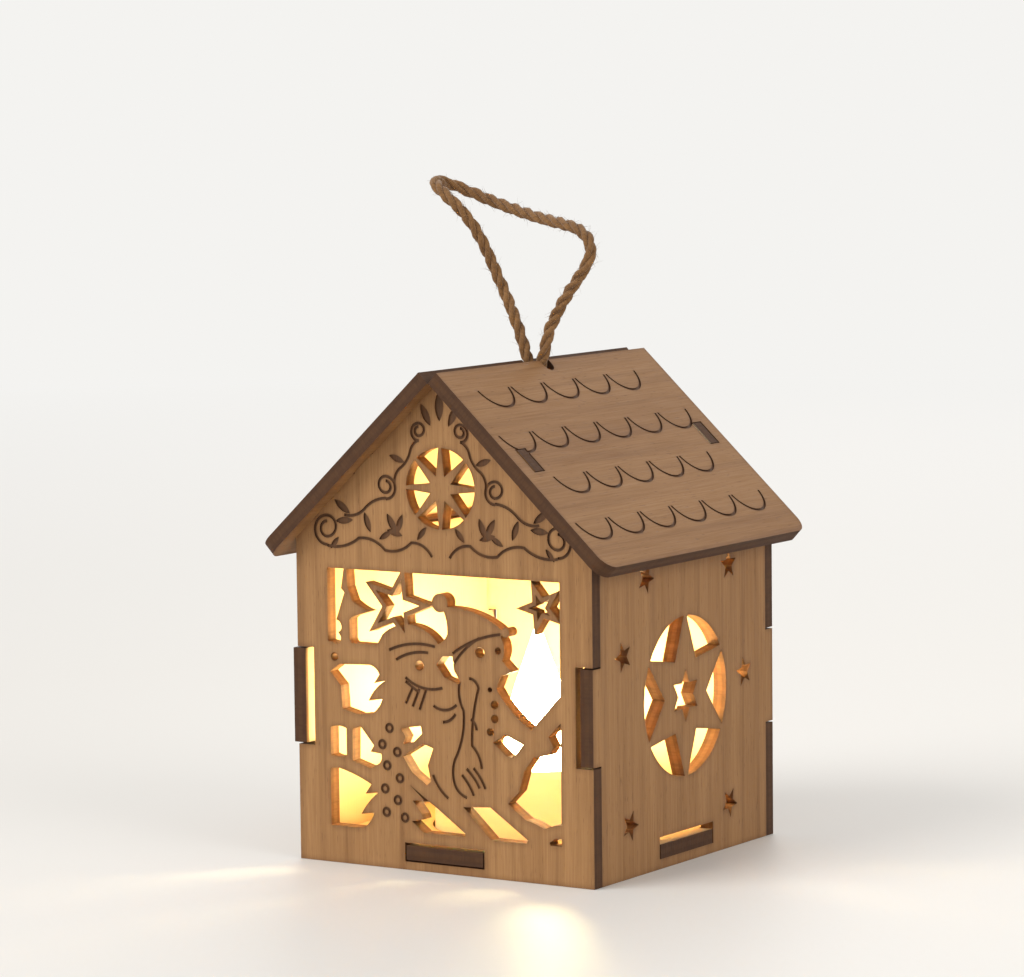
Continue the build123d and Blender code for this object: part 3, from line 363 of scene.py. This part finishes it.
def laser_ply(name, outward, grain, face, seed, deeper=0.0, unlit_edges=0.75):
    """Ply with its outer face at the distance face, in metres, along the unit vector outward, and
    its grain along the unit vector grain. Coordinates run along the grain, across it and through
    the layers: the dot products of the place with the three directions. deeper, from 0 to 1, is how far
    this board's veneer leans to the darker wood of the tree's middle. The last argument is how far the
    edges of its openings keep the dark char of the cut; the rest is paler browns, painted light that
    stands in for the flame's light on them. The rim always stays mostly char."""
    outward, grain = Vector(outward).normalized(), Vector(grain).normalized()
    across = outward.cross(grain)
    finish, tree, surface, _ = new_finish(name)
    coordinates = add(tree, "TexCoord")
    place = coordinates.outputs["Object"]

    def along(axis):
        return add(tree, "VectorMath", {0: place, 1: axis}, operation="DOT_PRODUCT").outputs["Value"]

    def stretched(first, second, third):
        """A point whose three coordinates are scaled one by one, moved to the board's own patch."""
        parts = {
            0: maths(tree, "MULTIPLY_ADD", with_grain, first, seed * 3.7),
            1: maths(tree, "MULTIPLY_ADD", cross_grain, second, seed * 1.9),
            2: maths(tree, "MULTIPLY_ADD", through, third, seed * 0.6),
        }
        return add(tree, "CombineXYZ", parts).outputs[0]

    with_grain, cross_grain, through = along(grain), along(across), along(outward)
    depth = maths(tree, "SUBTRACT", face, through)
    sides = {0: coordinates.outputs["Normal"], 1: outward}
    facing = add(tree, "VectorMath", sides, operation="DOT_PRODUCT").outputs["Value"]
    is_edge = span(tree, maths(tree, "ABSOLUTE", facing), 0.75, 0.65)
    is_inside = span(tree, facing, -0.65, -0.75)

    # Veneer: broad figure, growth rings, fine fibres and short pores
    figure = grain_noise(tree, stretched(9, 95, 40), 1, 3, 0.55, 0.5)
    rings = grain_noise(tree, stretched(14, 420, 90), 1, 3, 0.6, 0.35)
    fibres = grain_noise(tree, stretched(90, 3600, 1200), 1, 3, 0.65)
    pores = span(tree, grain_noise(tree, stretched(420, 5200, 1500), 1, 1, 0.5), 0.66, 0.76)
    tone = blend_colours(tree, span(tree, figure, 0.3, 0.72), paint(*veneer_pale), paint(*veneer_middle))
    tone = blend_colours(tree, span(tree, rings, 0.48, 0.72, 0, 0.55), tone, paint(*veneer_dark))
    tone = blend_colours(tree, span(tree, fibres, 0.35, 0.75, 0, 0.4), tone, paint(*veneer_dark))
    tone = blend_colours(tree, maths(tree, "MULTIPLY", pores, 0.5), tone, paint(*scorch))
    tone = blend_colours(tree, deeper, tone, paint(*veneer_dark))

    # Painted light: the inner faces, inside the walls, are painted much paler than the outer faces and
    # the roof's underside under the eaves, standing in for the flame's light indoors
    axes = add(tree, "SeparateXYZ", {0: place}).outputs
    from_axes = [maths(tree, "ABSOLUTE", axes[letter]) for letter in "XY"]
    from_middle = maths(tree, "MAXIMUM", *from_axes)
    indoors = span(tree, from_middle, eaves_start, indoors_end, 0, 0.85)
    painted_inside_light = maths(tree, "MULTIPLY", is_inside, indoors)
    tone = blend_colours(tree, painted_inside_light, tone, paint(*veneer_inside_lit))

    # Haze of the laser beside each cut, uneven along it
    smoke = grain_noise(tree, place, 260, 3, 0.6)
    near_cut = span(tree, wear(tree, 0.0012, 8), 0.03, 0.75)
    haze = maths(tree, "MULTIPLY", near_cut, span(tree, smoke, 0.25, 0.75, 0.45, 1.0))
    tone = blend_colours(tree, maths(tree, "MULTIPLY", haze, 0.8), tone, paint(*scorch))

    # Engraved lines: flat like the face, but the line's depth below it
    below = maths(tree, "COMPARE", depth, line_depth, 0.4 * line_depth)
    burnt = blend_colours(tree, span(tree, fibres, 0.3, 0.7), paint(*char), paint(*scorch))
    tone = blend_colours(tree, maths(tree, "MULTIPLY", below, 0.85), tone, burnt)

    # Cut edges: scorched with uneven stains, the crosswise middle layer a little paler, the beam's fine
    # streaks straight through the board. These browns are painted light, paler than the cut's char to
    # stand in for the flame's light on the openings' edges; the rim, beyond the reach of the openings,
    # stays near black, and the board's last argument turns its openings' edges to char as well
    streaks = grain_noise(tree, stretched(2300, 2300, 60), 1, 3, 0.65)
    stains = grain_noise(tree, place, 420, 3, 0.6)
    from_core = maths(tree, "ABSOLUTE", maths(tree, "SUBTRACT", depth, ply_depth / 2))
    middle = span(tree, from_core, 0.0005, 0.00035)
    stained = span(tree, stains, 0.3, 0.7, 0.15, 0.85)
    edge_tone = blend_colours(tree, stained, paint(*singed_and_lit), paint(*toasted_and_lit))
    streaked = span(tree, streaks, 0.3, 0.7, 0.25, 0.75)
    bare = maths(tree, "MULTIPLY", span(tree, middle, 0, 1, 0.25, 0.7), streaked)
    edge_tone = blend_colours(tree, bare, edge_tone, paint(*bare_middle))
    reach = span(tree, with_grain, gable_start, gable_full, picture_reach, gable_reach)
    past = maths(tree, "SUBTRACT", maths(tree, "ABSOLUTE", cross_grain), reach)
    rim = span(tree, past, 0, 0.0005, 0, 0.75)
    edge_tone = blend_colours(tree, maths(tree, "MAXIMUM", rim, unlit_edges), edge_tone, paint(*char))
    tone = blend_colours(tree, is_edge, tone, edge_tone)
    tree.links.new(tone, surface.inputs["Base Color"])

    shine = span(tree, fibres, 0.3, 0.7, 0.52, 0.68)
    shine = maths(tree, "ADD", shine, maths(tree, "MULTIPLY", is_edge, 0.14))
    tree.links.new(shine, surface.inputs["Roughness"])
    surface.inputs["Specular IOR Level"].default_value = 0.3
    relief = maths(tree, "MULTIPLY_ADD", fibres, 0.7, maths(tree, "MULTIPLY", pores, -0.8))
    ridges = maths(tree, "MULTIPLY", streaks, 1.3)
    skin = add(tree, "Mix", {0: is_edge, 2: relief, 3: ridges}, data_type="FLOAT").outputs[0]
    raise_surface(tree, surface, skin, 0.00006, 0.8)
    return finish


upright_grain = (0, 0, 1)
gable_face, right_face, left_face, floor_face = 0.0305, 0.0300, 0.0309, -0.0017
roof_rise = gable_peak * np.cos(roof_slope) + ply_depth
slope_right = (np.sin(roof_slope), 0, np.cos(roof_slope))
slope_left = (-np.sin(roof_slope), 0, np.cos(roof_slope))
dress(laser_ply("ply_base_plate", (0, 0, -1), (1, 0, 0), floor_face, 1.3, 0.1), "base_plate")
# Painted light: the front and right walls keep no char on their openings' edges, so these show the paler
# browns painted as the flame's light
dress(laser_ply("ply_front_wall", (0, -1, 0), upright_grain, gable_face, 2.1, unlit_edges=0.0), "front_wall")
dress(laser_ply("ply_back_wall", (0, 1, 0), upright_grain, gable_face, 3.4), "back_wall")
right_finish = laser_ply("ply_right_wall", (1, 0, 0), upright_grain, right_face, 4.2, 0.12, unlit_edges=0.0)
dress(right_finish, "right_wall")
dress(laser_ply("ply_left_wall", (-1, 0, 0), upright_grain, left_face, 5.7, 0.05), "left_wall")
dress(laser_ply("ply_roof_right", slope_right, (0, 1, 0), roof_rise, 6.8, 0.3), "roof_right")
dress(laser_ply("ply_roof_left", slope_left, (0, 1, 0), roof_rise, 8.1, 0.26), "roof_left")

# The hanger: about a hand's length of three-strand jute twine. Both ends come up through the
# notches in the ridge, and the free loop leans over to the left with one limp fold at its end.
lay_length = 0.0085
strand_reach = 0.00053
strand_thickness = 0.00056
left_exit = (-0.001590, 0.0, 0.0862)
right_exit = (0.001590, 0.0, 0.0862)
loop_points = [
    left_exit, (-0.002350, 0.0, 0.088686),
    (-0.0040, 0.0004, 0.0924), (-0.0063, 0.0009, 0.0968), (-0.0083, 0.0006, 0.1011),
    (-0.0096, -0.0006, 0.1053), (-0.0109, -0.0022, 0.1091), (-0.0127, -0.0038, 0.1122),
    (-0.0153, -0.0046, 0.1147), (-0.0182, -0.0033, 0.1164), (-0.0202, -0.0002, 0.1170),
    (-0.0202, 0.0034, 0.1165), (-0.0180, 0.0060, 0.1152), (-0.0138, 0.0069, 0.1135),
    (-0.0082, 0.0066, 0.1118), (-0.0021, 0.0054, 0.1104), (0.0035, 0.0036, 0.1096),
    (0.0080, 0.0022, 0.1088), (0.0109, 0.0012, 0.1067), (0.0112, 0.0005, 0.1036),
    (0.0089, 0.0004, 0.1004), (0.0058, 0.0009, 0.0969), (0.0036, 0.0010, 0.0934),
    (0.0026, 0.0004, 0.0908), (0.002350, 0.0, 0.088686), right_exit,
]
loop_step = 0.00035
fibre_step = 0.0006
slant = np.array((0.5, 0.7, 0.5))
spun = np.random.default_rng(41)


def read_route(points, spacing):
    """Points an even spacing apart on the NURBS line that has the given points as its controls."""
    curve = bpy.data.curves.new("twine_route", "CURVE")
    curve.dimensions = "3D"
    curve.resolution_u = 16
    spline = curve.splines.new("NURBS")
    spline.points.add(len(points) - 1)
    spline.points.foreach_set("co", np.append(points, np.ones((len(points), 1)), 1).ravel())
    spline.order_u = 3
    spline.use_endpoint_u = True
    holder = bpy.data.objects.new("twine_route", curve)
    bpy.context.collection.objects.link(holder)
    bpy.context.view_layer.update()
    line = bpy.data.meshes.new_from_object(holder.evaluated_get(bpy.context.evaluated_depsgraph_get()))
    read = np.empty(len(line.vertices) * 3)
    line.vertices.foreach_get("co", read)
    read = read.reshape(-1, 3)
    bpy.data.objects.remove(holder)
    bpy.data.curves.remove(curve)
    bpy.data.meshes.remove(line)
    gone = np.append(0, np.cumsum(np.linalg.norm(np.diff(read, axis=0), axis=1)))
    even = np.linspace(0, gone[-1], max(2, round(gone[-1] / spacing)))
    return np.stack([np.interp(even, gone, read[:, axis]) for axis in range(3)], 1), even


def unit(vectors):
    """Each vector divided by its own length."""
    return vectors / np.linalg.norm(vectors, axis=-1, keepdims=True)


def line_frame(line, hint):
    """The tangent of the line and two directions square to it and to each other, the first one
    as near to hint as it can be."""
    tangent = unit(np.gradient(line, axis=0))
    first = unit(hint - (hint * tangent).sum(-1, keepdims=True) * tangent)
    return tangent, first, np.cross(tangent, first)


def strands(line, gone, hint, reach, thickness, sides=10, count=3):
    """Strands laid round a line. Strand k's centre is the line plus reach times the direction at
    the angle 2 pi (gone / lay length + k / count), and its skin is a circle round that centre
    whose radius swells and thins a little along it. Gives count grids of rings by sides."""
    _, first, second = line_frame(line, hint)
    turn = 2 * np.pi * (gone[None, :] / lay_length + np.arange(count)[:, None] / count)
    outward = np.cos(turn)[..., None] * first + np.sin(turn)[..., None] * second
    centre = line + reach * outward
    slow = 0.07 * np.sin(gone * 2300 + 1.7 * np.arange(count)[:, None])
    swell = 1 + slow + 0.05 * np.sin(gone * 5100)
    round_it = 2 * np.pi * np.arange(sides) / sides
    ring = np.cos(round_it)[:, None] * first[:, None] + np.sin(round_it)[:, None] * second[:, None]
    return centre[:, :, None] + thickness * swell[..., None, None] * ring


def tube_faces(count, rings, sides):
    """Faces of count tubes of rings by sides points with a middle point at each end, and the
    place of each face corner round the tube, 0 to 1, and along it in rings."""
    counts = np.arange(count), np.arange(rings - 1), np.arange(sides)
    tube, ring, side = np.meshgrid(*counts, indexing="ij")
    base = tube * (rings * sides + 2)
    after = (side + 1) % sides
    low, high = base + ring * sides, base + (ring + 1) * sides
    walls = np.stack((low + side, low + after, high + after, high + side), -1).reshape(-1, 4)
    around = np.stack((side, side + 1, side + 1, side), -1).reshape(-1, 4) / sides
    up = np.stack((ring, ring, ring + 1, ring + 1), -1).reshape(-1, 4)
    tube, side = np.meshgrid(np.arange(count), np.arange(sides), indexing="ij")
    base, after = tube * (rings * sides + 2), (side + 1) % sides
    foot = np.stack((base + after, base + side, base + rings * sides), -1).reshape(-1, 3)
    last = base + (rings - 1) * sides
    head = np.stack((last + side, last + after, base + rings * sides + 1), -1).reshape(-1, 3)
    return walls, around, up, foot, head


def tube_piece(name, bundles, finish):
    """One mesh from several bundles of tubes. Each bundle is tubes by rings by sides points, its
    ends closed by the mean point of the end ring, with a map of place round and along each tube."""
    points, faces, corners, start = [], [], [], 0
    for bundle, step in bundles:
        count, rings, sides, _ = bundle.shape
        ends = np.stack((bundle[:, 0].mean(1), bundle[:, -1].mean(1)), 1)
        points.append(np.concatenate((bundle.reshape(count, -1, 3), ends), 1).reshape(-1, 3))
        walls, around, up, foot, head = tube_faces(count, rings, sides)
        for group in (walls, foot, head):
            faces += (group + start).tolist()
        corners.append(np.stack((around.ravel(), up.ravel() * step), 1))
        corners.append(np.zeros((foot.size + head.size, 2)))
        start += count * (rings * sides + 2)
    mesh = bpy.data.meshes.new(name)
    mesh.from_pydata(np.concatenate(points).tolist(), [], faces)
    mesh.polygons.foreach_set("use_smooth", np.ones(len(mesh.polygons), bool))
    lay_map = np.concatenate(corners).ravel().astype(np.float32)
    mesh.uv_layers.new(name="lay").data.foreach_set("uv", lay_map)
    mesh.materials.append(finish)
    mesh.update()
    piece = bpy.data.objects.new(name, mesh)
    bpy.context.collection.objects.link(piece)
    return piece


def stray_fibres(line, hint, count, longest, skin):
    """Loose fibres of the twine. Each leaves the skin at a random place and lies in the quarter
    turn from the tangent to the outward direction, rising with the square of its length and
    tapering to a point: root + length (t along + t squared outward)."""
    tangent, first, second = line_frame(line, hint)
    picked = spun.integers(2, len(line) - 2, count)
    angle = spun.uniform(0, 2 * np.pi, count)
    outward = np.cos(angle)[:, None] * first[picked] + np.sin(angle)[:, None] * second[picked]
    sideways = np.cross(tangent[picked], outward)
    length = longest * spun.uniform(0.35, 1.0, count) ** 1.5
    forward = spun.choice((-1, 1), count) * spun.uniform(0.55, 1.0, count)
    lift, drift = spun.uniform(0.15, 0.62, count), spun.uniform(-0.35, 0.35, count)
    share = np.linspace(0, 1, 5)[None, :, None]
    way = (
        tangent[picked][:, None] * forward[:, None, None] * share
        + outward[:, None] * lift[:, None, None] * share**2
        + sideways[:, None] * drift[:, None, None] * share**2
    )
    middle = (line[picked] + skin * outward)[:, None] + length[:, None, None] * way
    thin = 0.00005 * (1 - 0.85 * share)
    angles = 2 * np.pi * np.arange(3) / 3
    ring = np.cos(angles)[:, None] * outward[:, None] + np.sin(angles)[:, None] * sideways[:, None]
    return middle[:, :, None] + thin[..., None] * ring[:, None]


finish, tree, surface, _ = new_finish("jute_fibre")
lay = add(tree, "UVMap", uv_map="lay").outputs[0]
place = scene_place(tree)
parts = add(tree, "SeparateXYZ", {0: lay})
twist = maths(tree, "MULTIPLY_ADD", parts.outputs["Y"], 420.0, parts.outputs["X"])
around_strand = maths(tree, "MULTIPLY", twist, 9.0)
along_strand = maths(tree, "MULTIPLY", parts.outputs["Y"], 160.0)
hairs = add(tree, "CombineXYZ", {0: around_strand, 1: along_strand}).outputs[0]
fibre = grain_noise(tree, hairs, 1.0, 3, 0.6)
fluff = grain_noise(tree, place, 4200, 2, 0.6)
patches = grain_noise(tree, place, 240, 2)
tone = blend_colours(tree, span(tree, patches, 0.3, 0.7), paint(148, 109, 68), paint(126, 90, 54))
tone = blend_colours(tree, span(tree, fibre, 0.42, 0.72, 0, 0.75), tone, paint(94, 64, 38))
tone = blend_colours(tree, span(tree, fluff, 0.55, 0.8, 0, 0.5), tone, paint(190, 152, 104))
tree.links.new(tone, surface.inputs["Base Color"])
tree.links.new(span(tree, fibre, 0.3, 0.7, 0.92, 0.72), surface.inputs["Roughness"])
surface.inputs["Specular IOR Level"].default_value = 0.2
surface.inputs["Sheen Weight"].default_value = 0.25
fuzz = maths(tree, "MULTIPLY_ADD", fibre, 0.8, maths(tree, "MULTIPLY", fluff, 0.4))
raise_surface(tree, surface, fuzz, 0.00012, 0.9)
jute = finish

loop_line, loop_gone = read_route(loop_points, loop_step)
loop_strands = strands(loop_line, loop_gone, slant, strand_reach, strand_thickness)
loop_fluff = stray_fibres(loop_line, slant, 520, 0.0027, 0.00085)
twine_loop = tube_piece("twine_loop", [(loop_strands, loop_step), (loop_fluff, fibre_step)], jute)
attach(twine_loop, "house")
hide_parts("hanging_loop")

# The knot: the two ends tied together under the ridge in one overhand knot, so that the loop
# can't slip out of the notches, with two short frayed tails.
knot_centre = np.array((0.0, 0.0, 0.0801))
ends_meet = np.array((0.0, 0.0, 0.0810))
rise_step, knot_step = 0.0003, 0.00025
overlap = 0.03
tail_spread = 0.0006, 0.0011
steps = np.linspace(0, 1, 18)[:, None]
left_foot, right_foot = np.array(left_exit), np.array(right_exit)
left_share = steps * (1 + overlap)
left_rise = ends_meet + (left_foot - ends_meet) * left_share
right_rise = right_foot + (ends_meet - right_foot) * (left_share - overlap)
rise_length = np.linalg.norm(left_foot - ends_meet)
left_gone = (left_share[:, 0] - 1) * rise_length
right_gone = loop_gone[-1] + (left_share[:, 0] - overlap) * rise_length

# The overhand turn winds twice round the axis while it weaves three times in and out
knot_turn = np.linspace(0, 2 * np.pi, 140)
wide = 0.00115 + 0.0005 * np.cos(3 * knot_turn)
over, beside = np.cos(2 * knot_turn), np.sin(2 * knot_turn)
weave = -0.0010 * np.sin(3 * knot_turn)
knot_line = knot_centre + np.stack((wide * over, wide * beside, weave), 1)
knot_hint = np.stack((over, beside, np.full(len(knot_turn), 0.3)), 1)
knot_gone = np.linspace(0, 4, len(knot_turn)) * lay_length
drawn_reach, drawn_thickness = strand_reach * 0.8, strand_thickness * 0.85
bundles = [
    (strands(left_rise, left_gone, slant, strand_reach, strand_thickness), rise_step),
    (strands(right_rise, right_gone, slant, strand_reach, strand_thickness), rise_step),
    (strands(knot_line, knot_gone, knot_hint, drawn_reach, drawn_thickness), knot_step),
]
tail_share = np.linspace(0, 1, 24)
tail_hint = np.array((0.2, 1.0, 0.1))
opened = strand_reach * (0.9 + 0.9 * tail_share[None, :, None] ** 3)
for side, reach in ((-1, 0.0086), (1, 0.0074)):
    sway = side * (tail_spread[0] + tail_spread[1] * tail_share**1.5)
    swing = 0.0009 * side * np.sin(2.2 * tail_share)
    tail_line = np.stack((sway, swing, knot_centre[2] - reach * tail_share), 1)
    tail_strands = strands(tail_line, tail_share * reach, tail_hint, opened, drawn_thickness)
    bundles.append((tail_strands, rise_step))
    bundles.append((stray_fibres(tail_line, tail_hint, 40, 0.0022, 0.0007), fibre_step))
twine_knot = tube_piece("twine_knot", bundles, jute)
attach(twine_knot, "house")
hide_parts("hanging_knot")
